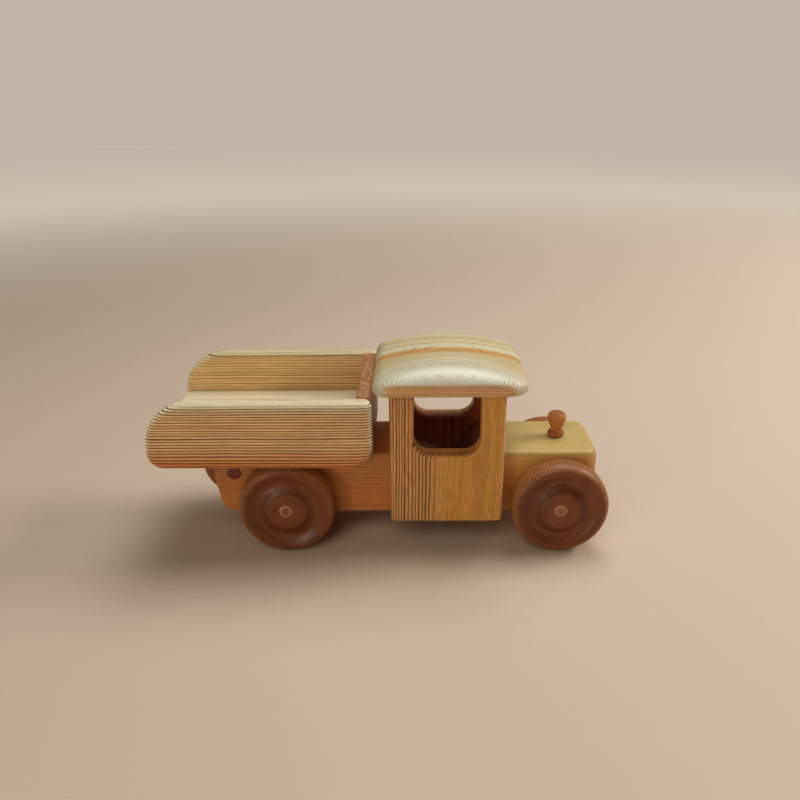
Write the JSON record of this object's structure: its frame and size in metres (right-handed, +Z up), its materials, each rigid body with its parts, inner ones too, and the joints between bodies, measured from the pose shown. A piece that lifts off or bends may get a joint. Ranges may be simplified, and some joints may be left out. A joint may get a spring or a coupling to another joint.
{
  "type": "toy dump truck",
  "caption": "Solid-wood toy dump truck: open cab with an arched roof, turned bonnet knob, rolling wheels on dowel axles, and a bed that tips back on a cross pin.",
  "frame": {"origin": "on the ground, under the middle of the bounding box", "axes": "+X forward, towards the bonnet; +Y to the truck's left; +Z up. Wheels stand on Z = 0, the bed is down."},
  "size_m": [0.277, 0.0966, 0.1213],
  "materials": {
    "chassis_pine": "oiled",
    "cab_pine": "oiled",
    "roof_pine": "oiled",
    "knob_wood": "oiled",
    "wheel_wood": "oiled",
    "axle_wood": "oiled end grain",
    "bed_pine": "oiled",
    "headboard_pine": "oiled",
    "tongue_wood": "oiled",
    "pin_wood": "oiled end grain",
    "dowel_wood": "bare"
  },
  "bodies": {
    "truck": {"chassis": "chassis_pine", "cab_side_left": "cab_pine", "cab_side_right": "cab_pine", "cab_roof": "roof_pine", "bonnet_knob": "knob_wood", "hinge_pin": "pin_wood", "dowel_cab_left_rear": "dowel_wood", "dowel_cab_left_front": "dowel_wood", "dowel_cab_right_rear": "dowel_wood", "dowel_cab_right_front": "dowel_wood", "dowel_roof_left_rear": "dowel_wood", "dowel_roof_left_front": "dowel_wood", "dowel_roof_right_rear": "dowel_wood", "dowel_roof_right_front": "dowel_wood"},
    "front_wheelset": {"axle_front": "axle_wood", "wheel_front_left": "wheel_wood", "wheel_front_right": "wheel_wood"},
    "rear_wheelset": {"axle_rear": "axle_wood", "wheel_rear_left": "wheel_wood", "wheel_rear_right": "wheel_wood"},
    "bed": {"bed_floor": "bed_pine", "bed_side_left": "bed_pine", "bed_side_right": "bed_pine", "bed_headboard": "headboard_pine", "bed_tongue": "tongue_wood", "dowel_bed_left_rear": "dowel_wood", "dowel_bed_left_front": "dowel_wood", "dowel_bed_right_rear": "dowel_wood", "dowel_bed_right_front": "dowel_wood", "dowel_headboard_left": "dowel_wood", "dowel_headboard_right": "dowel_wood", "dowel_tongue_rear": "dowel_wood", "dowel_tongue_front": "dowel_wood"}
  },
  "joints": [
    {"name": "front_wheels_roll", "type": "hinge", "parent": "truck", "child": "front_wheelset", "pos_m": [0.1085, 0, 0.03], "axis": [0, 1, 0], "continuous": true},
    {"name": "rear_wheels_roll", "type": "hinge", "parent": "truck", "child": "rear_wheelset", "pos_m": [-0.0603, 0, 0.03], "axis": [0, 1, 0], "continuous": true},
    {"name": "bed_tip", "type": "hinge", "parent": "truck", "child": "bed", "pos_m": [-0.0939, 0, 0.0486], "axis": [0, -1, 0], "range_deg": [0, 56]}
  ]
}
